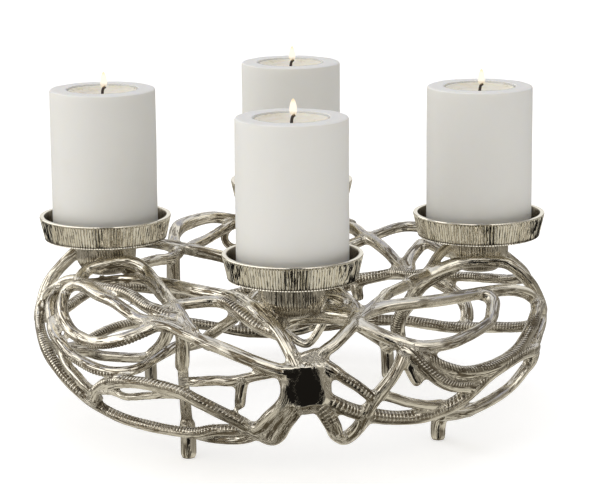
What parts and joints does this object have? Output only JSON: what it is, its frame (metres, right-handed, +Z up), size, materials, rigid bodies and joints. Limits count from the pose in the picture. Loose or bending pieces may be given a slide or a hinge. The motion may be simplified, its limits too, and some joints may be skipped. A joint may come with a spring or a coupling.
{
  "type": "advent candle ring",
  "caption": "Round openwork ring of woven metal twigs on short legs, with ribbed dishes that each hold a white pillar candle with an inset cup of wax.",
  "frame": {"origin": "middle of the ring on the surface that its legs stand on", "axes": "+Z up; +X to the right candle and -Y to the front candle as seen in the picture"},
  "size_m": [0.3965, 0.3935, 0.256],
  "materials": {
    "nickel": "bright warm nickel plating on cast aluminium, with bark-like grooves",
    "screw_steel": "plain steel countersunk screw",
    "white_wax": "smooth white candle wax, satin",
    "clear_cup": "clear moulded cup, smooth",
    "cream_wax": "cream candle wax, slightly translucent",
    "wick_cotton": "burnt braided cotton"
  },
  "bodies": {
    "root": {"branch_ring": "nickel", "dish_front": "nickel", "dish_screw_front": "screw_steel", "candle_front": "white_wax", "insert_cup_front": "clear_cup", "insert_wax_front": "cream_wax", "wick_front": "wick_cotton", "dish_left": "nickel", "dish_screw_left": "screw_steel", "candle_left": "white_wax", "insert_cup_left": "clear_cup", "insert_wax_left": "cream_wax", "wick_left": "wick_cotton", "dish_right": "nickel", "dish_screw_right": "screw_steel", "candle_right": "white_wax", "insert_cup_right": "clear_cup", "insert_wax_right": "cream_wax", "wick_right": "wick_cotton", "dish_back": "nickel", "dish_screw_back": "screw_steel", "candle_back": "white_wax", "insert_cup_back": "clear_cup", "insert_wax_back": "cream_wax", "wick_back": "wick_cotton"}
  },
  "joints": []
}
